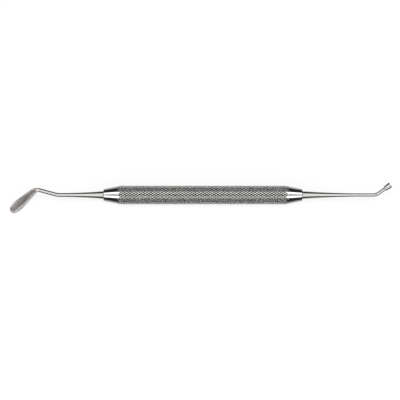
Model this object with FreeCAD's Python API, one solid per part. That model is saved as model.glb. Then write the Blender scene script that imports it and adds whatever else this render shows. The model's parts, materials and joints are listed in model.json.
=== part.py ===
import FreeCAD, Part
import math
import os

# A plastic filling instrument: a double-ended dental hand instrument that places and
# shapes soft filling material. A diamond-knurled bar carries a paddle at one end and a
# flat-faced plugger at the other, each a separate piece whose tang is pressed into a
# blind bore in the bar. All sizes are in millimetres.

# Handle: a turned bar with a polished cone at each end
handle_length = 86.0
handle_diameter = 8.0  # over the points of the knurl
cone_length = 7.5  # from the end of the bar to its full diameter
collar_wall = 0.82  # metal left round the bore at the small end of the cone
collar_chamfer = 0.4

# Diamond knurl: two crossed sets of grooves
knurl_starts = 24  # grooves of each hand round the bar
knurl_pitch = 1.60  # from point to point along the bar
knurl_depth = 0.32
seam_step = 0.01  # the knurl's last ring stands this proud of the cone it meets

# Tangs of both tips and the bores that hold them
tang_diameter = 3.36
tang_length = 15.0
tang_chamfer = 0.45
fit_clearance = 0.01  # on the radius
bore_end_clearance = 0.3
drill_point_angle = 118.0

# Paddle tip: the shank tapers, rises a little, then turns down into the blade
paddle_taper_length = 18.75
paddle_wire_diameter = 1.74
paddle_rise_angle = 15.0
paddle_rise_radius = 8.0
paddle_run_length = 6.74
paddle_turn_angle = 57.15
paddle_turn_radius = 3.43

# Paddle blade: lengths run from the end of the turn
blade_length = 12.65
blade_root_width = 2.62
blade_width = 4.18
belly_to_tip = 4.57  # from the widest place to the tip
tip_set_in = 0.30  # the round tip is this much narrower than the belly, each side
blade_root_thickness = 0.96
blade_tip_thickness = 0.50
blade_crown_radius = 13.7  # the ground faces are slightly domed across the blade
forging_allowance = 0.045  # ground off each face at the root
forged_edge_fullness = 0.92  # share of half the forging's thickness that its edge is rounded
grind_start = 1.2  # the ground faces reach this far back past the end of the turn
grind_wheel_radius = 3.43
heel_radius = 4.29  # outside of the turn, where the forging widens
throat_radius = 1.49  # inside of the turn

# Plugger tip: the shank tapers, runs straight, and turns up to the head
plugger_taper_length = 26.05
plugger_wire_diameter = 1.46
plugger_run_length = 4.4
plugger_turn_angle = 35.5
plugger_turn_radius = 4.46
plugger_neck_length = 3.09
head_length = 2.99
head_back_diameter = 2.11
head_face_diameter = 2.63
head_back_chamfer = 0.14
head_edge_chamfer = 0.1

# On a table the two tips balance on the bar, which keeps the paddle just off the table
paddle_clearance = 0.09

V = FreeCAD.Vector
ORIGIN = V(0, 0, 0)
X_AXIS = V(1, 0, 0)
Y_AXIS = V(0, 1, 0)
Z_AXIS = V(0, 0, 1)

handle_radius = handle_diameter / 2
half_step = math.pi / knurl_starts  # between the knurl's lines of points
tang_radius = tang_diameter / 2
bore_radius = tang_radius + fit_clearance
bore_depth = tang_length + bore_end_clearance
collar_radius = bore_radius + collar_wall


def line(start, end):
    return Part.LineSegment(start, end).toShape()


def arc(start, middle, end):
    return Part.Arc(start, middle, end).toShape()


def along(heading, distance=1.0):
    """A vector in the XY plane, at an angle in degrees from +X."""
    angle = math.radians(heading)
    return V(distance * math.cos(angle), distance * math.sin(angle), 0)


def round_corner(before, corner, after, radius):
    """The start, middle and end of the arc that rounds a corner between two lines."""
    back = (before - corner).normalize()
    ahead = (after - corner).normalize()
    half_angle = back.getAngle(ahead) / 2
    to_centre = (back + ahead).normalize() * (radius / math.sin(half_angle))
    tangent = radius / math.tan(half_angle)
    middle = corner + to_centre - to_centre.normalize() * radius
    return corner + back * tangent, middle, corner + ahead * tangent


def crossing(point, heading, other, other_heading):
    """Where two lines in the XY plane meet."""
    a = along(heading)
    b = along(other_heading)
    gap = other - point
    return point + a * ((gap.x * b.y - gap.y * b.x) / (a.x * b.y - a.y * b.x))


def taper(start_radius, length, end_radius):
    """A hollow-ground taper: an arc that runs out level at its thin end."""
    drop = start_radius - end_radius
    sweep_radius = (length**2 + drop**2) / (2 * drop)
    half = math.asin(length / sweep_radius) / 2
    middle = V(
        length - sweep_radius * math.sin(half),
        end_radius + sweep_radius * (1 - math.cos(half)),
        0,
    )
    return arc(V(0, start_radius, 0), middle, V(length, end_radius, 0))


def turned(edges):
    """A solid of revolution about X from a closed profile in the XY plane."""
    return Part.Face(Part.Wire(edges)).revolve(ORIGIN, X_AXIS, 360)


# Handle


def cone_radius(x):
    """Radius of the turned cone at a distance from the middle of the bar."""
    flank = (handle_radius - collar_radius) / cone_length
    return collar_radius + (handle_length / 2 - x) * flank


def knurled_bar():
    """The knurled length of the bar, with the distance from its middle to each flat end.

    Points lie on a grid of half pitches along the bar and half steps round it. They are
    peaks and groove bottoms in turn, so each grid cell folds along the groove between its
    two bottoms, and four folded halves make one diamond. Where the cones cut into the
    knurl, the peaks are only as high as the cone, so the diamonds fade out.
    """
    root_radius = handle_radius - knurl_depth
    flank = (handle_radius - collar_radius) / cone_length
    knurl_reach = handle_length / 2 - (root_radius - collar_radius) / flank
    half_pitch = knurl_pitch / 2
    rows = 2 * math.floor(knurl_reach / half_pitch)
    stations = [(row - rows / 2) * half_pitch for row in range(rows + 1)]
    seam = stations[-1] + half_pitch / 2
    stations = [-seam, *stations, seam]
    columns = 2 * knurl_starts

    points = []
    for row, x in enumerate(stations):
        for column in range(columns):
            if abs(x) == seam:
                radius = (cone_radius(seam) + seam_step) / math.cos(half_step / 2)
            elif (row + column) % 2:
                radius = min(handle_radius, cone_radius(abs(x)))
            else:
                radius = root_radius
            angle = (column + 0.5) * half_step
            points.append((x, radius * math.cos(angle), radius * math.sin(angle)))

    facets = []
    for row in range(len(stations) - 1):
        for column in range(columns):
            a = row * columns + column
            d = row * columns + (column + 1) % columns
            b = a + columns
            c = d + columns
            if (row + column) % 2:
                facets += [(a, d, b), (b, d, c)]
            else:
                facets += [(a, c, b), (a, d, c)]

    skin = Part.Shape()
    skin.makeShapeFromMesh((points, facets), 0.001)
    caps = []
    for x in (-seam, seam):
        rim = [edge for edge in skin.Edges if abs(edge.CenterOfMass.x - x) < 0.001]
        cap = Part.Face(Part.Wire(Part.__sortEdges__(rim)))
        if cap.normalAt(0, 0).x * x < 0:
            cap.reverse()
        caps.append(cap)
    return Part.Solid(Part.Shell(skin.Faces + caps)), seam


def turned_end(seam):
    """The polished cone, from the flat end of the knurled length to the collar."""
    end = handle_length / 2
    chamfer = min(collar_chamfer, 0.9 * collar_wall)
    profile = [
        V(seam, 0, 0),
        V(seam, cone_radius(seam), 0),
        V(end - chamfer, cone_radius(end - chamfer), 0),
        V(end, collar_radius - chamfer, 0),
        V(end, 0, 0),
        V(seam, 0, 0),
    ]
    return turned([Part.makePolygon(profile)])


def tang_bore():
    """The drilled hole for a tang, with the drill's point at its bottom."""
    bottom = handle_length / 2 - bore_depth
    drill_point = bore_radius / math.tan(math.radians(drill_point_angle / 2))
    profile = [
        V(bottom - drill_point, 0, 0),
        V(bottom, bore_radius, 0),
        V(handle_length / 2 + 1, bore_radius, 0),
        V(handle_length / 2 + 1, 0, 0),
        V(bottom - drill_point, 0, 0),
    ]
    return turned([Part.makePolygon(profile)])


def make_handle():
    bar, seam = knurled_bar()
    cone = turned_end(seam)
    bore = tang_bore()
    handle = bar.fuse([cone, cone.mirror(ORIGIN, X_AXIS)])
    return handle.cut([bore, bore.mirror(ORIGIN, X_AXIS)]).Solids[0]


# Tips: each is modelled from its collar along +X, with the picture's up as +Y


def shank(taper_length, wire_radius):
    """The tang, then the tapered shank down to the round wire."""
    chamfer_start = V(-tang_length, tang_radius - tang_chamfer, 0)
    chamfer_end = V(-tang_length + tang_chamfer, tang_radius, 0)
    profile = [
        line(V(-tang_length, 0, 0), chamfer_start),
        line(chamfer_start, chamfer_end),
        line(chamfer_end, V(0, tang_radius, 0)),
        taper(tang_radius, taper_length, wire_radius),
        line(V(taper_length, wire_radius, 0), V(taper_length, 0, 0)),
        line(V(taper_length, 0, 0), V(-tang_length, 0, 0)),
    ]
    return turned(profile)


def bent_wire(start, radius, moves):
    """Round wire in the XY plane, starting along +X.

    A move is a straight length, or a turn in degrees (left is positive) with its radius.
    Gives the wire, the point where it ends and its heading there.
    """
    at = start
    heading = 0.0
    path = []
    for move in moves:
        if isinstance(move, tuple):
            turn, turn_radius = move
            to_centre = heading + math.copysign(90, turn)
            centre = at + along(to_centre, turn_radius)
            middle = centre - along(to_centre + turn / 2, turn_radius)
            end = centre - along(to_centre + turn, turn_radius)
            path.append(arc(at, middle, end))
            heading += turn
        else:
            end = at + along(heading, move)
            path.append(line(at, end))
        at = end
    section = Part.Face(Part.Wire(Part.Circle(start, X_AXIS, radius).toShape()))
    return Part.Wire(path).makePipe(section), at, heading


def place_at(shape, point, heading):
    """Turn a piece made along +X to a heading and move it to a point."""
    placed = shape.copy()
    placed.Placement = FreeCAD.Placement(point, FreeCAD.Rotation(Z_AXIS, heading))
    return placed


def paddle_forging():
    """The flattened blank: the blade's plan, drawn back round the turn into the wire."""
    half_width = blade_width / 2
    tip_radius = half_width - tip_set_in
    tip_centre = V(blade_length - tip_radius, 0, 0)
    belly = V(blade_length - belly_to_tip, half_width, 0)
    reach = tip_centre.x - belly.x
    belly_radius = (reach**2 + half_width**2 - tip_radius**2) / (2 * tip_set_in)
    belly_centre = V(belly.x, half_width - belly_radius, 0)
    tip_join = tip_centre + (tip_centre - belly_centre).normalize() * tip_radius

    # The straight side leaves its root point as a tangent of the belly's arc.
    root = V(0, blade_root_width / 2, 0)
    to_belly = belly_centre - root
    side_length = math.sqrt(to_belly.Length**2 - belly_radius**2)
    side_heading = math.degrees(
        math.atan2(to_belly.y, to_belly.x) + math.asin(belly_radius / to_belly.Length)
    )
    side_end = root + along(side_heading, side_length)

    # Inside the wire the plan keeps to two lines that its rounded edges can't leave.
    buried = 0.75 * paddle_wire_diameter / 2
    turn_centre = V(0, -paddle_turn_radius, 0)
    heel_start = turn_centre + along(paddle_turn_angle + 90, paddle_turn_radius + buried)
    throat_start = turn_centre + along(paddle_turn_angle + 90, paddle_turn_radius - buried)
    back = along(paddle_turn_angle + 180, 0.4 * paddle_run_length)
    heel = crossing(heel_start, paddle_turn_angle, root, side_heading)
    flipped = V(root.x, -root.y, 0)
    throat = crossing(throat_start, paddle_turn_angle, flipped, -side_heading)
    heel_arc = round_corner(heel_start + back, heel, side_end, heel_radius)
    lower_side_end = V(side_end.x, -side_end.y, 0)
    throat_arc = round_corner(throat_start + back, throat, lower_side_end, throat_radius)

    lower_tip_join = V(tip_join.x, -tip_join.y, 0)
    belly_middle = belly_centre + along(
        90 + side_heading / 2 - math.degrees(math.atan2(reach, belly_radius - half_width)) / 2,
        belly_radius,
    )
    lower_belly_middle = V(belly_middle.x, -belly_middle.y, 0)
    outline = [
        line(throat_start + back, throat_arc[0]),
        arc(*throat_arc),
        line(throat_arc[2], lower_side_end),
        arc(lower_side_end, lower_belly_middle, lower_tip_join),
        arc(lower_tip_join, V(blade_length, 0, 0), tip_join),
        arc(tip_join, belly_middle, side_end),
        line(side_end, heel_arc[2]),
        arc(heel_arc[2], heel_arc[1], heel_arc[0]),
        line(heel_arc[0], heel_start + back),
    ]
    inside_end = line(heel_start + back, throat_start + back)

    half_thickness = blade_root_thickness / 2 + forging_allowance
    plan = Part.Face(Part.Wire(outline + [inside_end]))
    plan.translate(V(0, 0, -half_thickness))
    forging = plan.extrude(V(0, 0, 2 * half_thickness))
    back_end = heel_start + back
    rims = []
    for edge in forging.Edges:
        level = abs(edge.CenterOfMass.z)
        off_back_end = abs((edge.CenterOfMass - back_end).dot(along(paddle_turn_angle)))
        if level > half_thickness / 2 and off_back_end > 0.001:
            rims.append(edge)
    return forging.makeFillet(forged_edge_fullness * half_thickness, rims)


def grinding_cut():
    """What the wheel takes off the upper face: a shallow dome with a hollow run-in."""
    reach = blade_length + 1
    root_height = blade_root_thickness / 2
    fall = (blade_root_thickness - blade_tip_thickness) / 2 / (blade_length + grind_start)
    start = V(-grind_start, 0, root_height)
    slope = math.atan(fall)
    wheel_centre = start + V(math.sin(slope), 0, math.cos(slope)) * grind_wheel_radius
    run_in = wheel_centre - V(math.cos(0.8 - slope), 0, math.sin(0.8 - slope)) * grind_wheel_radius
    run_in_top = wheel_centre - V(grind_wheel_radius, 0, 0)
    far = V(reach, 0, root_height - fall * (reach + grind_start))
    profile = [
        arc(run_in_top, run_in, start),
        line(start, far),
        line(far, V(reach, 0, wheel_centre.z)),
        line(V(reach, 0, wheel_centre.z), run_in_top),
    ]
    axis_point = V(0, 0, root_height - blade_crown_radius)
    swing = 30
    half_cut = Part.Face(Part.Wire(profile)).rotate(axis_point, X_AXIS, -swing)
    return half_cut.revolve(axis_point, X_AXIS, 2 * swing)


def make_paddle_tip():
    wire_radius = paddle_wire_diameter / 2
    start = V(paddle_taper_length, 0, 0)
    moves = [
        (paddle_rise_angle, paddle_rise_radius),
        paddle_run_length,
        (-paddle_turn_angle, paddle_turn_radius),
    ]
    wire, wire_end, heading = bent_wire(start, wire_radius, moves)
    forging = place_at(paddle_forging(), wire_end, heading)
    body = shank(paddle_taper_length, wire_radius).fuse([wire, forging]).removeSplitter()
    upper = grinding_cut()
    lower = upper.mirror(ORIGIN, Z_AXIS)
    for cut in (upper, lower):
        body = body.cut(place_at(cut, wire_end, heading))
    return body.Solids[0]


def make_plugger_tip():
    wire_radius = plugger_wire_diameter / 2
    start = V(plugger_taper_length, 0, 0)
    moves = [plugger_run_length, (plugger_turn_angle, plugger_turn_radius)]
    wire, wire_end, heading = bent_wire(start, wire_radius, moves)
    head_end = plugger_neck_length + head_length
    back_radius = head_back_diameter / 2
    face_radius = head_face_diameter / 2
    flare = (face_radius - back_radius) / (head_length - head_back_chamfer)
    profile = [
        V(0, 0, 0),
        V(0, wire_radius, 0),
        V(plugger_neck_length, wire_radius, 0),
        V(plugger_neck_length + head_back_chamfer, back_radius, 0),
        V(head_end - head_edge_chamfer, face_radius - flare * head_edge_chamfer, 0),
        V(head_end, face_radius - head_edge_chamfer, 0),
        V(head_end, 0, 0),
        V(0, 0, 0),
    ]
    head = turned([Part.makePolygon(profile)])
    head = place_at(head, wire_end, heading)
    body = shank(plugger_taper_length, wire_radius).fuse([wire, head]).removeSplitter()
    return body.Solids[0]


# Assembly


def resting_roll(paddle):
    """How far the tips roll until the paddle is down at its clearance over the table."""
    lowest = -handle_radius * math.cos(half_step / 2) + paddle_clearance
    low = 0.0
    high = 90.0
    for _ in range(24):
        roll = (low + high) / 2
        rolled = paddle.copy().rotate(ORIGIN, X_AXIS, roll)
        if rolled.optimalBoundingBox(False, False).ZMin > lowest:
            low = roll
        else:
            high = roll
    return low


half_length = V(handle_length / 2, 0, 0)
handle = make_handle()
paddle_tip = make_paddle_tip().rotate(ORIGIN, Y_AXIS, 180).translate(-half_length)
plugger_tip = make_plugger_tip().translate(half_length)
pieces = {"handle": handle, "paddle_tip": paddle_tip, "plugger_tip": plugger_tip}

# The bar stands on two lines of the knurl's points, and only the tips roll: they can be
# pressed in at any angle to the knurl.
roll = resting_roll(paddle_tip)
for tip in (paddle_tip, plugger_tip):
    tip.rotate(ORIGIN, X_AXIS, roll)
box = Part.makeCompound(list(pieces.values())).optimalBoundingBox(False, False)
to_origin = V(-box.Center.x, -box.Center.y, -box.ZMin)

os.makedirs("parts", exist_ok=True)
for name, piece in pieces.items():
    piece.translate(to_origin)
    piece.exportStep(f"parts/{name}.step")
    print(f"{name}: {piece.Volume:.2f} mm3, valid {piece.isValid()}")
print(f"rolled {roll:.2f} degrees, {box.XLength:.2f} x {box.YLength:.2f} x {box.ZLength:.2f} mm")
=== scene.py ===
# %% [markdown]
# A plastic filling instrument, dressed in steel.
# Dentists place and shape soft filling material with this double-ended tool. A flat paddle
# is bent from one end of a knurled handle and a small flat-faced plugger from the other.
# The real one is three pieces of stainless steel: a turned and knurled bar, and two tips
# that are pressed into holes in its ends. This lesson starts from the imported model, which
# fixes every size, and makes each piece again with finer edges and real metal finishes.

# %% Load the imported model
import json
import math

import bmesh
import bpy
from mathutils import Matrix, Vector


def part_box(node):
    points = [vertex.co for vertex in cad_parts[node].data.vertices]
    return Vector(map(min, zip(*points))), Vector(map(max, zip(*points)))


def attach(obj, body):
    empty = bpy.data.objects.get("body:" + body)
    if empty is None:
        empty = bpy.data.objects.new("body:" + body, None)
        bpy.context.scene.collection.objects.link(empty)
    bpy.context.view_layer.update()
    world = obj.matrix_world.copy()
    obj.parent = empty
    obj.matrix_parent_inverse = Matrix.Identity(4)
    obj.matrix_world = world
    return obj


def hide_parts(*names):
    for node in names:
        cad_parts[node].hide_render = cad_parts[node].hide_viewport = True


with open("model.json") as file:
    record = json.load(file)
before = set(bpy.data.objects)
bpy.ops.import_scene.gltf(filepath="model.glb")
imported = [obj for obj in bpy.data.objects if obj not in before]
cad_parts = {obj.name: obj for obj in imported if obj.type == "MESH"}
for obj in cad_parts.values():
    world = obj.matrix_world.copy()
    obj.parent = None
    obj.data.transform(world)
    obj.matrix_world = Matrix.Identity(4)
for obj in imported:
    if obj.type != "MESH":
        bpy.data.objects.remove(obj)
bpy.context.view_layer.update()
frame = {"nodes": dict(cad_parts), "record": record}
print("nodes:", sorted(frame["nodes"]))

# %% [markdown]
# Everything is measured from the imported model, so that it sits exactly where the model
# does. The handle lies along X, and the middle of its box is a point on its axis. Both tips
# bend in one plane that leans back from upright. The plugger's face looks along that plane,
# so the direction of the face gives the lean.

# %% Where the handle is, and how far the tips lean
MM = 0.001
KNURL_STARTS = 24
half_step = math.pi / KNURL_STARTS
low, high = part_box("handle")
handle_centre = (low + high) / 2
half_handle = (high.x - low.x) / 2 / MM
handle_radius = (high.z - low.z) / 2 / math.cos(half_step / 2) / MM

mounts = {mount["name"]: mount for mount in frame["record"]["mounts"]}
face_direction = Vector(mounts["plugger_face"]["axis"])
lean = math.atan2(face_direction.z, face_direction.y)
picture_up = Vector((0, math.cos(lean), math.sin(lean)))
to_camera = Vector((0, -math.sin(lean), math.cos(lean)))
print(f"handle {2 * half_handle:.2f} mm long, {2 * handle_radius:.2f} mm thick")
print(f"tips lean {math.degrees(lean):.2f} degrees")

# %% [markdown]
# The picture looks square on to the plane of the bends. A long lens from well back keeps
# the two ends of the tool at one size, as in a catalogue. The tool fills the width of the
# frame, with its handle a little above the middle.

# %% Camera
lens = 135
sensor = 36
frame_width = 172.8 * MM
right_of_middle = -1.265 * MM
below_handle = 2.16 * MM
camera_distance = frame_width / sensor * lens
centre_of_view = handle_centre + Vector((right_of_middle, 0, 0)) - picture_up * below_handle

camera_data = bpy.data.cameras.new("camera")
camera_data.lens = lens
camera_data.sensor_width = sensor
camera_data.clip_start = 0.01
camera = bpy.data.objects.new("camera", camera_data)
camera.location = centre_of_view + to_camera * camera_distance
camera.rotation_euler = (lean, 0, 0)
bpy.context.scene.collection.objects.link(camera)
bpy.context.scene.camera = camera
bpy.context.scene.view_settings.view_transform = "Standard"
print(f"camera {camera_distance:.3f} m away")

# %% [markdown]
# Polished steel shows nothing but its surroundings, so the studio is half of the picture.
# Two long white panels stand either side of the camera, with a dark slot between them for
# the lens. On every round bar they become two white bands with a thin dark line between.

# %% Light panels
PANEL_RADIANCE = 1.6
panel_distance = 0.8
slot_half_width = 0.15
panel_reach = 0.75
panel_length = 2.0


def add_panel(name, side):
    light = bpy.data.lights.new(name, "AREA")
    light.shape = "RECTANGLE"
    light.size = panel_length
    light.size_y = panel_reach - slot_half_width
    light.energy = PANEL_RADIANCE * math.pi * light.size * light.size_y
    panel = bpy.data.objects.new(name, light)
    offset = side * (slot_half_width + panel_reach) / 2
    panel.location = centre_of_view + to_camera * panel_distance + picture_up * offset
    panel.rotation_euler = (lean, 0, 0)
    bpy.context.scene.collection.objects.link(panel)
    print(name, f"{light.energy:.2f} W")


add_panel("panel_above", 1)
add_panel("panel_below", -1)


# %% [markdown]
# The studio and the finishes are made of shader nodes. They could be linked one by one, but
# most of them only pass a number or a colour on. So a few helpers make a node and plug in what
# it reads, whether that is the output of another node or a plain value.


# %% Small helpers for node trees
def add_node(tree, kind, **inputs):
    node = tree.nodes.new(kind)
    for name, value in inputs.items():
        node.inputs[name.replace("_", " ")].default_value = value
    return node


def plug(tree, value, socket):
    """Link a socket, or set a plain number or colour."""
    if isinstance(value, bpy.types.NodeSocket):
        tree.links.new(value, socket)
    elif value is not None:
        socket.default_value = value


def math_node(tree, operation, first, second=None, third=None):
    node = tree.nodes.new("ShaderNodeMath")
    node.operation = operation
    for socket, value in zip(node.inputs, (first, second, third)):
        plug(tree, value, socket)
    return node.outputs[0]


def ramp_node(tree, factor, stops):
    """A colour ramp; a stop is a place and a grey value or a colour."""
    node = tree.nodes.new("ShaderNodeValToRGB")
    points = node.color_ramp.elements
    while len(points) < len(stops):
        points.new(0.5)
    for point, (position, colour) in zip(points, stops):
        point.position = position
        point.color = (*colour, 1) if isinstance(colour, tuple) else (colour, colour, colour, 1)
    tree.links.new(factor, node.inputs[0])
    return node.outputs[0]


# %% [markdown]
# Around the panels the studio is black, which draws the dark edges of the steel. Behind the
# tool everything is pale again, which gives its light rims. A gradient that depends only on
# the angle from the panels does both. The camera itself sees plain white above the floor.

# %% The rest of the studio
world = bpy.data.worlds.new("studio")
world.use_nodes = True
bpy.context.scene.world = world
tree = world.node_tree
tree.nodes.clear()
direction = tree.nodes.new("ShaderNodeTexCoord").outputs["Generated"]
facing = tree.nodes.new("ShaderNodeVectorMath")
facing.operation = "DOT_PRODUCT"
facing.inputs[1].default_value = to_camera
tree.links.new(direction, facing.inputs[0])
towards_panels = math_node(tree, "MULTIPLY_ADD", facing.outputs["Value"], 0.5, 0.5)
PALE_BEHIND = 0.42
black_sides = [(0.0, PALE_BEHIND), (0.30, PALE_BEHIND), (0.38, 0.02), (0.6, 0.012)]
lens_side = [(0.78, 0.04), (0.92, 0.05)]
surroundings = ramp_node(tree, towards_panels, black_sides + lens_side)
path = tree.nodes.new("ShaderNodeLightPath").outputs
seen = tree.nodes.new("ShaderNodeMix")
seen.data_type = "RGBA"
plug(tree, path["Is Camera Ray"], seen.inputs["Factor"])
plug(tree, surroundings, seen.inputs["A"])
plug(tree, (1, 1, 1, 1), seen.inputs["B"])
background = tree.nodes.new("ShaderNodeBackground")
tree.links.new(seen.outputs["Result"], background.inputs["Color"])
output = tree.nodes.new("ShaderNodeOutputWorld")
tree.links.new(background.outputs[0], output.inputs[0])
print("studio set up")

# %% [markdown]
# The floor is a sheet of white paper. The camera sees it almost white without more light on
# the tool, and it keeps a soft shadow. The steel sees it too, as a paler ground under and
# behind the tool. In front of the tool the steel sees a dark card instead, which a
# photographer lays beside a shiny tool to draw its near edge.

# %% Floor
FLOOR_HALF_SIZE = 3
bm = bmesh.new()
bmesh.ops.create_grid(bm, x_segments=1, y_segments=1, size=FLOOR_HALF_SIZE)
floor_mesh = bpy.data.meshes.new("floor")
bm.to_mesh(floor_mesh)
bm.free()
floor = bpy.data.objects.new("floor", floor_mesh)
bpy.context.scene.collection.objects.link(floor)

# %% White paper with a dark card
CARD_GREY = 0.02
PAPER_GLOW = 0.83
PAPER_IN_VIEW = (0.3, 0.3, 0.3, 1)
WHITE_PAPER = (0.8, 0.8, 0.8, 1)
card_edge = -4.5 * MM
card_blend = 3.5 * MM
paper = bpy.data.materials.new("white_paper")
paper.use_nodes = True
paper.cycles.emission_sampling = "NONE"
floor.data.materials.append(paper)
tree = paper.node_tree
tree.nodes.clear()
place = tree.nodes.new("ShaderNodeSeparateXYZ")
tree.links.new(tree.nodes.new("ShaderNodeTexCoord").outputs["Object"], place.inputs[0])
off_card = tree.nodes.new("ShaderNodeMapRange")
plug(tree, place.outputs["Y"], off_card.inputs["Value"])
plug(tree, card_edge - card_blend, off_card.inputs["From Min"])
plug(tree, card_edge, off_card.inputs["From Max"])
plug(tree, CARD_GREY, off_card.inputs["To Min"])
plug(tree, PALE_BEHIND, off_card.inputs["To Max"])

in_steel = tree.nodes.new("ShaderNodeEmission")
plug(tree, off_card.outputs[0], in_steel.inputs["Strength"])
to_eye = tree.nodes.new("ShaderNodeAddShader")
shaded = add_node(tree, "ShaderNodeBsdfDiffuse", Color=PAPER_IN_VIEW)
glow = add_node(tree, "ShaderNodeEmission", Strength=PAPER_GLOW)
tree.links.new(shaded.outputs[0], to_eye.inputs[0])
tree.links.new(glow.outputs[0], to_eye.inputs[1])

# %% [markdown]
# Every ray knows what sent it. Rays from the camera see the glowing paper with its shadow, rays
# that came off the steel see the pale ground with its card, and all other light falls on plain
# white paper.

# %% Choose what each kind of ray sees
path = tree.nodes.new("ShaderNodeLightPath").outputs
mirrored = math_node(tree, "MAXIMUM", path["Is Glossy Ray"], path["Is Transmission Ray"])
as_background = math_node(tree, "MAXIMUM", path["Is Camera Ray"], mirrored)
background_look = tree.nodes.new("ShaderNodeMixShader")
tree.links.new(mirrored, background_look.inputs[0])
tree.links.new(to_eye.outputs[0], background_look.inputs[1])
tree.links.new(in_steel.outputs[0], background_look.inputs[2])
plain = add_node(tree, "ShaderNodeBsdfDiffuse", Color=WHITE_PAPER)
either = tree.nodes.new("ShaderNodeMixShader")
tree.links.new(as_background, either.inputs[0])
tree.links.new(plain.outputs[0], either.inputs[1])
tree.links.new(background_look.outputs[0], either.inputs[2])
output = tree.nodes.new("ShaderNodeOutputMaterial")
tree.links.new(either.outputs[0], output.inputs[0])
print("floor laid")

# %% [markdown]
# The handle is turned from round bar and knurled: two wheels roll crossed sets of grooves
# along left and right-hand helices. What is left standing between four grooves is a small
# diamond with a blunt, rubbed top. On a flat sheet, turned by 45 degrees, that pattern is a
# plain grid in which each square is one diamond. So the sheet is made flat, and each square
# is inset to leave a narrow groove round it. It is quicker and cleaner than sweeping
# dozens of grooves along helices and cutting each from a bar.

# %% A flat sheet of squares, turned on their corners
KNURL_PITCH = 1.60
KNURL_DEPTH = 0.32
GROOVE_FLAT = 0.07
SPARE_SHEET = 2
half_pitch = KNURL_PITCH / 2
sheet_rows = 2 * math.ceil((half_handle + SPARE_SHEET) / KNURL_PITCH)
sheet_cells = sheet_rows + KNURL_STARTS + 1
knurl = bmesh.new()
bmesh.ops.create_grid(
    knurl,
    x_segments=sheet_cells,
    y_segments=sheet_cells,
    size=sheet_cells / math.sqrt(2),
    matrix=Matrix.Rotation(math.radians(45), 4, "Z"),
)
outside = []
for face in knurl.faces:
    middle = face.calc_center_median()
    beside = abs(middle.x) > sheet_rows + 0.5
    wraps_twice = not -KNURL_STARTS - 0.5 < middle.y < KNURL_STARTS - 0.5
    if beside or wraps_twice:
        outside.append(face)
bmesh.ops.delete(knurl, geom=outside, context="FACES")
column_width = half_step * handle_radius
bmesh.ops.scale(knurl, vec=(half_pitch, column_width, 1), verts=knurl.verts)
bmesh.ops.inset_individual(knurl, faces=knurl.faces, thickness=GROOVE_FLAT)
diamonds = [f for f in knurl.faces if f.calc_area() > 0.5 * half_pitch * column_width]
print(len(diamonds), "diamonds")

# %% [markdown]
# Now the sheet is wrapped round the bar at the depth of the grooves. Its two long sides
# meet and are merged. Each diamond is inset and lifted twice, which raises four steep flanks
# and a gentler shoulder above them, and its top is poked into a low point. A sharp pyramid
# would be simpler, but a rubbed knurl is a little round, and only a round top catches the
# light on every row of the handle.

# %% Wrap the sheet and raise the diamonds
diamond_steps = [(0.09, 0.13), (0.12, 0.045)]
MERGE_DISTANCE = 0.001


def set_radius(vert, radius):
    reach = math.hypot(vert.co.y, vert.co.z)
    vert.co.y *= radius / reach
    vert.co.z *= radius / reach


groove_radius = handle_radius - KNURL_DEPTH
for vert in knurl.verts:
    angle = (vert.co.y / column_width + 0.5) * half_step
    vert.co.y = groove_radius * math.cos(angle)
    vert.co.z = groove_radius * math.sin(angle)
bmesh.ops.remove_doubles(knurl, verts=knurl.verts, dist=MERGE_DISTANCE)
for width, below_the_top in diamond_steps:
    bmesh.ops.inset_individual(knurl, faces=diamonds, thickness=width)
    for diamond in diamonds:
        for vert in diamond.verts:
            set_radius(vert, handle_radius - below_the_top)
for vert in bmesh.ops.poke(knurl, faces=diamonds)["verts"]:
    set_radius(vert, handle_radius)
print("knurl", len(knurl.faces), "faces")

# %% [markdown]
# The sheet was cut between squares, so its ends are ragged. A flat cut just past each end of
# the handle trims them, and one face fills each hole, because only a closed shape can be
# trimmed by another.

# %% Close the ends of the knurled bar
SPARE_BAR = 0.5
for side in (-1, 1):
    cut = bmesh.ops.bisect_plane(
        knurl,
        geom=[*knurl.verts, *knurl.edges, *knurl.faces],
        plane_co=(side * (half_handle + SPARE_BAR), 0, 0),
        plane_no=(side, 0, 0),
        clear_outer=True,
    )
    rim = [part for part in cut["geom_cut"] if isinstance(part, bmesh.types.BMEdge)]
    bmesh.ops.holes_fill(knurl, edges=rim, sides=0)
bmesh.ops.recalc_face_normals(knurl, faces=knurl.faces)
print("open edges:", sum(edge.is_boundary for edge in knurl.edges))

# %% [markdown]
# The cones, collars and bores are turned on a lathe. A spin could make them, but here a
# ring of edges is extruded and scaled from station to station, just as the lathe tool
# follows its line, because the same few lines of code also draw out the two tips.


# %% Carry a ring of edges along
def draw_ring(bm, edges, matrix):
    """Extrude a ring of edges and carry the new ring to its place."""
    made = bmesh.ops.extrude_edge_only(bm, edges=edges)["geom"]
    verts = [part for part in made if isinstance(part, bmesh.types.BMVert)]
    bmesh.ops.transform(bm, matrix=matrix, verts=verts)
    new = set(verts)
    new_edges = [part for part in made if isinstance(part, bmesh.types.BMEdge)]
    return [edge for edge in new_edges if edge.verts[0] in new and edge.verts[1] in new]


def turn_to(bm, edges, here, there):
    """Carry a ring round X from (x, radius) to (x, radius)."""
    scale = there[1] / here[1]
    matrix = (
        Matrix.Translation((there[0], 0, 0))
        @ Matrix.Diagonal((1, scale, scale, 1))
        @ Matrix.Translation((-here[0], 0, 0))
    )
    return draw_ring(bm, edges, matrix)


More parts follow.
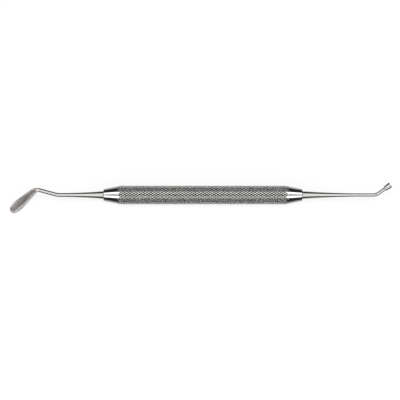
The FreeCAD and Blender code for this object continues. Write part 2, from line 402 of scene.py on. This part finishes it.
def rounded(start, corner, end, steps):
    """Points of a soft curve from start to end that heads for the corner."""
    points = []
    for step in range(steps + 1):
        t = step / steps
        weights = ((1 - t) ** 2, 2 * t * (1 - t), t**2)
        place = (sum(w * v for w, v in zip(weights, c)) for c in zip(start, corner, end))
        points.append(tuple(place))
    return points


# %% [markdown]
# Half the profile runs from the middle of the bar out along the cone, round the polished
# edge of the collar, and back in down the drilled bore. Along the knurl the blank is a
# little fatter than the diamonds, so that it trims nothing there.

# %% The profile of the turned blank
COLLAR_RADIUS = 2.51
CONE_LENGTH = 7.5
COLLAR_ROUND = 0.45
BORE_RADIUS = 1.69
BORE_DEPTH = 15.3
BORE_EDGE = 0.05
DRILL_DEGREES = 118
DRILL_POINT = BORE_RADIUS / math.tan(math.radians(DRILL_DEGREES / 2))
AXIS_GAP = 0.01
MOUTH_RIM = 0.1
CLEAR_OF_KNURL = 0.06
flank = (handle_radius - COLLAR_RADIUS) / CONE_LENGTH


def cone_radius(x):
    return COLLAR_RADIUS + (half_handle - abs(x)) * flank


def on_cone(from_end):
    return (half_handle - from_end, cone_radius(half_handle - from_end))


cone = [on_cone(CONE_LENGTH + CLEAR_OF_KNURL / flank), on_cone(5), on_cone(2.5), on_cone(0.7)]
corner = (half_handle, COLLAR_RADIUS)
collar_face = (half_handle, COLLAR_RADIUS - COLLAR_ROUND)
collar = rounded(on_cone(COLLAR_ROUND), corner, collar_face, steps=7)
mouth = rounded(
    (half_handle, BORE_RADIUS + BORE_EDGE),
    (half_handle, BORE_RADIUS),
    (half_handle - BORE_EDGE, BORE_RADIUS),
    steps=3,
)
bottom = half_handle - BORE_DEPTH
bore = [(bottom, BORE_RADIUS), (bottom - DRILL_POINT + AXIS_GAP, AXIS_GAP)]
profile = cone + collar + [(half_handle, BORE_RADIUS + MOUTH_RIM)] + mouth + bore
print(len(profile), "stations on each side")

# %% Turn the blank
BLANK_SIDES = 144
blank = bmesh.new()
belt_radius = profile[0][1]
across_x = Matrix.Rotation(math.pi / 2, 4, "Y")
belt = bmesh.ops.create_circle(blank, segments=BLANK_SIDES, radius=belt_radius, matrix=across_x)
belt_edges = list({edge for vert in belt["verts"] for edge in vert.link_edges})
for side in (-1, 1):
    ring = belt_edges
    stations = [(0, belt_radius), *profile]
    for here, there in zip(stations, stations[1:]):
        ring = turn_to(blank, ring, (side * here[0], here[1]), (side * there[0], there[1]))
    bmesh.ops.holes_fill(blank, edges=ring, sides=0)
bmesh.ops.recalc_face_normals(blank, faces=blank.faces)
print("blank", len(blank.faces), "faces")

# %% [markdown]
# On the real handle the cones are turned after the knurl is rolled, so its diamonds fade
# out on them with a ragged edge. Keeping only what the knurled bar and the blank have in
# common makes the same cut. A Boolean modifier does it, and its result is taken back into
# a bmesh.


# %% Trim the knurl with the cones
def as_object(bm, name):
    mesh = bpy.data.meshes.new(name)
    bm.to_mesh(mesh)
    bm.free()
    thing = bpy.data.objects.new(name, mesh)
    bpy.context.scene.collection.objects.link(thing)
    return thing


def common_part(first, second):
    """A bmesh of what two closed shapes share."""
    first_object = as_object(first, "first")
    second_object = as_object(second, "second")
    trim = first_object.modifiers.new("trim", "BOOLEAN")
    trim.operation = "INTERSECT"
    trim.solver = "EXACT"
    trim.object = second_object
    bpy.context.view_layer.update()
    evaluated = first_object.evaluated_get(bpy.context.evaluated_depsgraph_get())
    result = bmesh.new()
    result.from_mesh(evaluated.data)
    for thing in (first_object, second_object):
        bpy.data.meshes.remove(thing.data)
    return result


handle_shape = common_part(knurl, blank)
print("handle", len(handle_shape.faces), "faces")

# %% [markdown]
# Two numbers on each point tell the finish where it is: how far down a groove it lies, and
# whether the lathe tool made it. The finish reads them as attributes.

# %% Mark the grooves and the turned surfaces
TOUCH = 0.004
PLAIN_CONE = 5
depth_layer = handle_shape.verts.layers.float.new("cut_depth")
turned_layer = handle_shape.verts.layers.float.new("turned")
for vert in handle_shape.verts:
    radius = math.hypot(vert.co.y, vert.co.z)
    below = min(cone_radius(vert.co.x), handle_radius) - radius
    on_the_cone = abs(vert.co.x) > half_handle - CONE_LENGTH
    past_the_knurl = abs(vert.co.x) > half_handle - PLAIN_CONE
    if past_the_knurl or (on_the_cone and below < TOUCH):
        vert[turned_layer] = 1
    else:
        vert[depth_layer] = min(1, max(0, below / KNURL_DEPTH))

# %% [markdown]
# The handle was made round the origin, in millimetres. Its place and size go into its mesh and
# the object itself stays at the origin, so that patterns on object coordinates keep their place
# on the steel. Faces are shaded smooth, with a crisp edge where they meet at a clear angle.


# %% Set the handle down in the model's place
def finish_piece(bm, name, matrix, sharp_degrees):
    """Move a shape to its place and shade it smooth between crisp edges."""
    bmesh.ops.transform(bm, matrix=matrix, verts=bm.verts)
    bmesh.ops.recalc_face_normals(bm, faces=bm.faces)
    piece = as_object(bm, name)
    for face in piece.data.polygons:
        face.use_smooth = True
    piece.data.set_sharp_from_angle(angle=math.radians(sharp_degrees))
    print(name, len(piece.data.polygons), "faces")
    return piece


to_place = Matrix.Translation(handle_centre) @ Matrix.Scale(MM, 4)
handle = finish_piece(handle_shape, "knurled_handle", to_place, sharp_degrees=30)

# %% [markdown]
# Both tips begin as round rod that is ground to a taper and bent. The rod is drawn out ring
# by ring from its buried end, with a cursor that goes ahead of it: a straight step moves the
# cursor along, and a bend turns it. Each point also remembers where it was on the straight
# rod, so that a finish can follow the bends.


# %% A rod that is drawn out and bent
class Rod:
    """A round rod in the plane of the bends, drawn out ring by ring."""

    SIDES = 64

    def __init__(self, x, radius):
        self.bm = bmesh.new()
        self.unbent = self.bm.verts.layers.float_vector.new("unbent")
        self.cursor = Matrix.Translation((x, 0, 0))
        self.along = x
        self.radius = radius
        start = self.cursor @ across_x
        made = bmesh.ops.create_circle(
            self.bm, cap_ends=True, segments=self.SIDES, radius=radius, matrix=start
        )
        self.ring = list({edge for vert in made["verts"] for edge in vert.link_edges})
        self.remember()

    def remember(self):
        """Write down where the newest ring is on the straight rod."""
        back = self.cursor.inverted()
        for vert in {vert for edge in self.ring for vert in edge.verts}:
            place = back @ vert.co
            vert[self.unbent] = (self.along, place.y, place.z)

    def advance(self, step, scale, distance):
        matrix = self.cursor @ step @ Matrix.Diagonal((1, scale, scale, 1))
        self.ring = draw_ring(self.bm, self.ring, matrix @ self.cursor.inverted())
        self.cursor = self.cursor @ step
        self.along += distance
        self.remember()

    def draw(self, distance, radius):
        self.advance(Matrix.Translation((distance, 0, 0)), radius / self.radius, distance)
        self.radius = radius

    def run(self, distance, steps):
        for _ in range(steps):
            self.draw(distance / steps, self.radius)

    def bend(self, degrees, bend_radius, steps):
        """Turn in the plane of the bends; to the left is positive."""
        side = math.copysign(bend_radius, degrees)
        turn = Matrix.Rotation(math.radians(degrees) / steps, 4, "Z")
        arc = Matrix.Translation((0, side, 0)) @ turn @ Matrix.Translation((0, -side, 0))
        for _ in range(steps):
            self.advance(arc, 1, bend_radius * math.radians(abs(degrees)) / steps)

    def close(self):
        bmesh.ops.holes_fill(self.bm, edges=self.ring, sides=0)


# %% [markdown]
# The buried end, or tang, fills its bore. From the collar on, a grinding wheel has left a
# hollow taper: the side of the shank is an arc that runs out level where the wire begins.

# %% Tang and tapered shank
TANG_RADIUS = 1.68
TANG_LENGTH = 15.0
TANG_CHAMFER = 0.45
TANG_MOUTH = 0.3
TAPER_STEPS = 32


def shank(taper_length, wire_radius):
    rod = Rod(-TANG_LENGTH, TANG_RADIUS - TANG_CHAMFER)
    rod.draw(TANG_CHAMFER, TANG_RADIUS)
    rod.draw(TANG_LENGTH - TANG_CHAMFER - TANG_MOUTH, TANG_RADIUS)
    rod.draw(TANG_MOUTH, TANG_RADIUS)
    drop = TANG_RADIUS - wire_radius
    sweep = (taper_length**2 + drop**2) / (2 * drop)
    for step in range(TAPER_STEPS):
        left = taper_length * (1 - (step + 1) / TAPER_STEPS)
        radius = wire_radius + sweep - math.sqrt(sweep**2 - left**2)
        rod.draw(taper_length / TAPER_STEPS, radius)
    return rod


# %% [markdown]
# The paddle's rod rises a little, then turns down. Past the turn it is drawn on as wire, in
# stations that crowd together towards the round tip, ready to be pressed flat.

# %% Draw the rod of the paddle tip
PADDLE_TAPER = 18.75
PADDLE_WIRE = 0.87
RISE_DEGREES = 15
RISE_RADIUS = 8.0
RISE_RUN = 6.74
TURN_DEGREES = 57.15
TURN_RADIUS = 3.43
BLADE_LENGTH = 12.65
BLADE_STATIONS = 60

paddle = shank(PADDLE_TAPER, PADDLE_WIRE)
paddle.bend(RISE_DEGREES, RISE_RADIUS, steps=8)
paddle.run(RISE_RUN, steps=8)
turn_start = paddle.along
paddle.bend(-TURN_DEGREES, TURN_RADIUS, steps=40)
blade_start = paddle.cursor.copy()
turn_end = paddle.along
for station in range(1, BLADE_STATIONS):
    reach = BLADE_LENGTH * math.sin(math.pi / 2 * station / BLADE_STATIONS)
    paddle.draw(turn_end + reach - paddle.along, PADDLE_WIRE)
paddle.close()
print(f"paddle rod {paddle.along:.2f} mm past the collar")

# %% [markdown]
# A forging press flattens the wire between two dies. The plan of the blade widens in a
# straight line from the turn, swells to a belly and ends in a round tip. Back round the
# turn the forging narrows into the wire again, more quickly on the inside of the bend.

# %% The plan of the forging
ROOT_HALF_WIDTH = 1.31
HALF_WIDTH = 2.09
BELLY = 8.08
BELLY_RADIUS = 14.82
TIP_RADIUS = 1.79
TIP_CENTRE = BLADE_LENGTH - TIP_RADIUS
SIDE_SLOPE = math.tan(math.radians(6.108))
SIDE_END = 6.503
OUTER_FALL = 0.0126
INNER_LEAST = 0.65
INNER_SWELL = 0.66
SWELL_POWER = 2.6
TIP_JOIN = TIP_CENTRE + TIP_RADIUS * (TIP_CENTRE - BELLY) / (BELLY_RADIUS - TIP_RADIUS)


def blade_half_width(x):
    if x < SIDE_END:
        return ROOT_HALF_WIDTH + x * SIDE_SLOPE
    if x < TIP_JOIN:
        return HALF_WIDTH - BELLY_RADIUS + math.sqrt(BELLY_RADIUS**2 - (x - BELLY) ** 2)
    return math.sqrt(max(0, TIP_RADIUS**2 - (x - TIP_CENTRE) ** 2))


def turn_half_widths(degrees):
    """Outer and inner half widths of the forging, some degrees back round the turn."""
    outer = ROOT_HALF_WIDTH - OUTER_FALL * degrees
    share = max(0, math.cos(math.radians(degrees) * 90 / TURN_DEGREES))
    return outer, INNER_LEAST + INNER_SWELL * share**SWELL_POWER


# %% [markdown]
# Across the forging, its edge is almost half round. A wheel then grinds both faces: the
# blade thins towards its tip, the faces keep a slight crown, and where the wheel comes in
# over the turn it leaves a hollow. A polishing mop then rolls the edge of each face over and
# eases the corner, and this soft edge is what draws the dark outline of the blade.

# %% The thickness of the blade
HALF_FORGING = 0.525
EDGE_ROUND = 0.483
ROOT_HEIGHT = 0.48
TIP_HEIGHT = 0.25
GRIND_START = -1.2
WHEEL_RADIUS = 3.43
RUN_IN = 0.9 * WHEEL_RADIUS
CROWN_RADIUS = 13.7
EDGE_EASE = 0.16
MOP_WIDTH = 0.42
MOP_DROP = 0.18


def forged_height(from_edge):
    if from_edge <= 0:
        return 0
    inside = max(0, EDGE_ROUND - from_edge)
    return HALF_FORGING - EDGE_ROUND + math.sqrt(EDGE_ROUND**2 - inside**2)


def ground_height(x, y):
    fall = (ROOT_HEIGHT - TIP_HEIGHT) / (BLADE_LENGTH - GRIND_START)
    if x > GRIND_START:
        height = ROOT_HEIGHT - fall * (x - GRIND_START)
    elif x > GRIND_START - RUN_IN:
        chord = math.sqrt(WHEEL_RADIUS**2 - (x - GRIND_START) ** 2)
        height = ROOT_HEIGHT + WHEEL_RADIUS - chord
    else:
        return math.inf
    axis = ROOT_HEIGHT - CROWN_RADIUS
    return axis + math.sqrt((height - axis) ** 2 - y**2)


def mopped(from_edge):
    """How far the mop has polished here, from 1 at the edge to 0 on the flat of the face."""
    return min(1, max(0, 1 - from_edge / MOP_WIDTH))


def eased_height(forged, ground):
    """The lower of the two heights, with the corner between them eased."""
    overlap = max(0, EDGE_EASE - abs(forged - ground)) / EDGE_EASE
    return min(forged, ground) - overlap**2 * EDGE_EASE / 4


# %% [markdown]
# Pressing moves every point of the straight and turned wire outwards to the plan and up to
# the height there. Points on the ground faces are marked, because they have a satin finish.


# %% Press and grind the blade
def press_blade(x, across):
    """Where a point of the wire goes on the blade, from its place along and a share across.

    Returns the point in plan, its place across, its forged height and its way to the edge.
    """
    half_width = blade_half_width(x)
    y = across * half_width
    from_edge = half_width - abs(y)
    if x > TIP_CENTRE:
        from_edge = TIP_RADIUS - math.hypot(x - TIP_CENTRE, y)
    return Vector((x, y, 0)), y, forged_height(from_edge), from_edge


def press_turn(arc_left, across):
    """The same in the turn, from the arc that is left before the blade."""
    degrees = math.degrees(arc_left / TURN_RADIUS)
    forged_outer, forged_inner = turn_half_widths(degrees)
    outer = max(PADDLE_WIRE, forged_outer)
    inner = max(PADDLE_WIRE, forged_inner)
    place = (outer - inner) / 2 + across * (outer + inner) / 2
    spoke = Matrix.Rotation(math.radians(degrees), 4, "Z") @ Vector((0, 1, 0))
    point = Vector((0, -TURN_RADIUS, 0)) + spoke * (TURN_RADIUS + place)
    wire_height = math.sqrt(max(0, PADDLE_WIRE**2 - place**2))
    forged = forged_height(min(forged_outer - place, forged_inner + place))
    return point, place, max(wire_height, forged), min(outer - place, inner + place)


TINY = 0.0001
JUST_PAST = 0.001
ground_layer = paddle.bm.verts.layers.float.new("ground")
pressed = [v for v in paddle.bm.verts if v[paddle.unbent].x > turn_start + JUST_PAST]
for vert in pressed:
    along, across, height = vert[paddle.unbent]
    past_turn = along - turn_end
    press = press_blade if past_turn > TINY else press_turn
    point, place, forged, from_edge = press(abs(past_turn), across / PADDLE_WIRE)
    ground = ground_height(point.x, point.y) - MOP_DROP * mopped(from_edge) ** 2
    side = 0 if abs(height) < TINY else math.copysign(1, height)
    point.z = side * eased_height(forged, ground)
    vert.co = blade_start @ point
    vert[paddle.unbent] = (along, place, point.z)
    vert[ground_layer] = 1 - mopped(from_edge) ** 2 if ground < forged else 0
print(len(pressed), "points pressed")

# %% [markdown]
# Both tips are drawn in a flat plane, pointing along +X. The paddle is turned round to point
# the other way, moved to its end of the handle and leant back with the plane of the bends.

# %% Set the paddle tip down in the model's place
lean_back = Matrix.Rotation(lean, 4, "X")
at_left_end = Matrix.Translation((-half_handle, 0, 0)) @ Matrix.Rotation(math.pi, 4, "Y")
paddle_place = to_place @ lean_back @ at_left_end
paddle_tip = finish_piece(paddle.bm, "ground_paddle", paddle_place, sharp_degrees=40)

# %% [markdown]
# The plugger is plain turned work on bent wire. Behind its head the wire steps up in a
# small shoulder, the head flares, and its flat face packs the filling. The edge of the face
# is rounded over in three small steps so that it doesn't cut.

# %% Plugger tip
PLUGGER_TAPER = 26.05
PLUGGER_WIRE = 0.73
PLUGGER_RUN = 4.4
PLUGGER_DEGREES = 35.5
PLUGGER_BEND_RADIUS = 4.46
NECK_RUN = 3.09
FACE_RING_RADIUS = 0.6
shoulder = [(0.02, 0.78), (0.10, 1.03), (0.03, 1.062)]
flare = [(1.3, 1.17), (1.44, 1.292)]
face_edge = [(0.05, 1.28), (0.04, 1.23), (0.01, 1.18)]

plugger = shank(PLUGGER_TAPER, PLUGGER_WIRE)
plugger.run(PLUGGER_RUN, steps=4)
plugger.bend(PLUGGER_DEGREES, PLUGGER_BEND_RADIUS, steps=24)
plugger.run(NECK_RUN, steps=4)
for distance, radius in shoulder + flare + face_edge:
    plugger.draw(distance, radius)
plugger.draw(0, FACE_RING_RADIUS)
plugger.close()
at_right_end = Matrix.Translation((half_handle, 0, 0))
plugger_place = to_place @ lean_back @ at_right_end
plugger_tip = finish_piece(plugger.bm, "flared_plugger", plugger_place, sharp_degrees=40)


# %% [markdown]
# All three pieces are bare stainless steel, so each finish is the same metal with its own
# roughness. Nothing on a real tool is one even tone, so every finish starts from a few
# patterns of noise. A noise that is squeezed flat in two directions makes turning marks,
# and one that is stretched in one direction makes brushed lines.

# %% Tools for the finishes
def steel(name):
    material = bpy.data.materials.new(name)
    material.use_nodes = True
    shader = material.node_tree.nodes["Principled BSDF"]
    shader.inputs["Metallic"].default_value = 1
    return material.node_tree, shader, material


def attribute(tree, name, output="Fac"):
    node = tree.nodes.new("ShaderNodeAttribute")
    node.attribute_name = name
    return node.outputs[output]


def marks(tree, place, scale, detail=2.0):
    """Noise from 0 to 1 whose scale, in marks a millimetre, differs by direction."""
    mapping = tree.nodes.new("ShaderNodeMapping")
    mapping.inputs["Scale"].default_value = scale
    tree.links.new(place, mapping.inputs["Vector"])
    noise = add_node(tree, "ShaderNodeTexNoise", Scale=1.0, Detail=detail)
    tree.links.new(mapping.outputs[0], noise.inputs["Vector"])
    return noise.outputs[0]


def blend(tree, factor, first, second):
    """Go from one number to another as a factor goes from 0 to 1."""
    node = tree.nodes.new("ShaderNodeMapRange")
    for value, name in ((factor, "Value"), (first, "To Min"), (second, "To Max")):
        plug(tree, value, node.inputs[name])
    return node.outputs[0]


def shade(tree, colour, amount):
    """Multiply a colour by a number."""
    node = tree.nodes.new("ShaderNodeVectorMath")
    node.operation = "SCALE"
    plug(tree, colour, node.inputs[0])
    plug(tree, amount, node.inputs["Scale"])
    return node.outputs[0]


def raise_marks(tree, shader, height, depth):
    """Turn a pattern into relief; depth is in metres."""
    bump = add_node(tree, "ShaderNodeBump", Distance=depth)
    tree.links.new(height, bump.inputs["Height"])
    tree.links.new(bump.outputs[0], shader.inputs["Normal"])


# %% [markdown]
# The crests of the knurl are rubbed bright by hands and by the polishing mop. Down the
# grooves the colour is painted almost black: mostly painted shade where light can't reach
# into them, and partly polishing residue that the mop doesn't reach. The cones are polished
# to a mirror, with the faintest of rings left from the lathe.

# %% Finish of the handle
tree, shader, material = steel("handle_steel")
handle.data.materials.append(material)
in_mm = tree.nodes.new("ShaderNodeVectorMath")
in_mm.operation = "SCALE"
in_mm.inputs["Scale"].default_value = 1 / MM
tree.links.new(tree.nodes.new("ShaderNodeTexCoord").outputs["Object"], in_mm.inputs[0])
place = in_mm.outputs[0]
depth = attribute(tree, "cut_depth")
turned = attribute(tree, "turned")
rings = marks(tree, place, (9.0, 0.0, 0.0))
smudges = marks(tree, place, (0.35, 0.5, 0.5), 3.0)
grain = marks(tree, place, (7.0, 7.0, 7.0))

CONE_RING_SHARE = 0.12
GRAIN_DEPTH = 0.012 * MM
bright_crest = (0.9, 0.89, 0.875)
shoulder_steel = (0.8, 0.79, 0.775)
# The near-black groove colour is painted shade for the grooves' shadow, with some polishing
# residue.
groove_shade_and_residue = (0.03, 0.03, 0.03)
down_the_groove = [(0.0, bright_crest), (0.4, shoulder_steel), (0.6, groove_shade_and_residue)]
colour = ramp_node(tree, depth, down_the_groove)
tree.links.new(shade(tree, colour, blend(tree, smudges, 0.9, 1.05)), shader.inputs["Base Color"])
on_knurl = blend(tree, grain, 0.28, 0.35)
on_cone_polish = blend(tree, rings, 0.05, 0.11)
roughness = blend(tree, turned, on_knurl, on_cone_polish)
tree.links.new(roughness, shader.inputs["Roughness"])
faint_rings = math_node(tree, "MULTIPLY", rings, CONE_RING_SHARE)
raise_marks(tree, shader, blend(tree, turned, grain, faint_rings), GRAIN_DEPTH)
print("handle finished")

# %% [markdown]
# The shanks and the plugger are mirror polished on a mop, with faint lines round the wire.
# The two faces of the paddle are only ground: their satin is made of fine lines along the
# blade, over a few broad streaks where the belt pressed harder. Both share one material,
# because the record has one finish for the tips, and the marked points say which is which.

# %% Finish of the tips
tree, shader, material = steel("tip_steel")
paddle_tip.data.materials.append(material)
plugger_tip.data.materials.append(material)
place = attribute(tree, "unbent", "Vector")
ground = attribute(tree, "ground")
rings = marks(tree, place, (5.0, 0.0, 0.0))
smudges = marks(tree, place, (0.3, 0.8, 0.8), 3.0)
lines = marks(tree, place, (0.35, 11.0, 0.0), 3.0)
streaks = marks(tree, place, (0.13, 0.95, 0.0), 1.0)

WIRE_RING_SHARE = 0.1
LINE_DEPTH = 0.006 * MM
polished_steel = (0.66, 0.65, 0.635)
streak_stops = [(0.38, (0.39, 0.362, 0.352)), (0.62, (0.68, 0.635, 0.615))]
satin = shade(tree, ramp_node(tree, streaks, streak_stops), blend(tree, lines, 0.8, 1.2))
colour = tree.nodes.new("ShaderNodeMix")
colour.data_type = "RGBA"
plug(tree, ground, colour.inputs["Factor"])
plug(tree, (*polished_steel, 1), colour.inputs["A"])
plug(tree, satin, colour.inputs["B"])
toned = shade(tree, colour.outputs["Result"], blend(tree, smudges, 0.93, 1.04))
tree.links.new(toned, shader.inputs["Base Color"])
polish = blend(tree, rings, 0.06, 0.12)
satin_roughness = blend(tree, lines, 0.2, 0.36)
tree.links.new(blend(tree, ground, polish, satin_roughness), shader.inputs["Roughness"])
faint_rings = math_node(tree, "MULTIPLY", rings, WIRE_RING_SHARE)
raise_marks(tree, shader, blend(tree, ground, faint_rings, lines), LINE_DEPTH)
print("tips finished")

# %% [markdown]
# Nothing on this tool moves, so every piece rides on the one body. Each replaces its plain
# node of the imported model, which is hidden.

# %% Say what each piece stands for
for piece, node, slot in (
    (handle, "handle", "handle_steel"),
    (paddle_tip, "paddle_tip", "tip_steel"),
    (plugger_tip, "plugger_tip", "tip_steel"),
):
    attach(piece, "root")
    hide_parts(node)
    print(piece.name, "replaces", node)
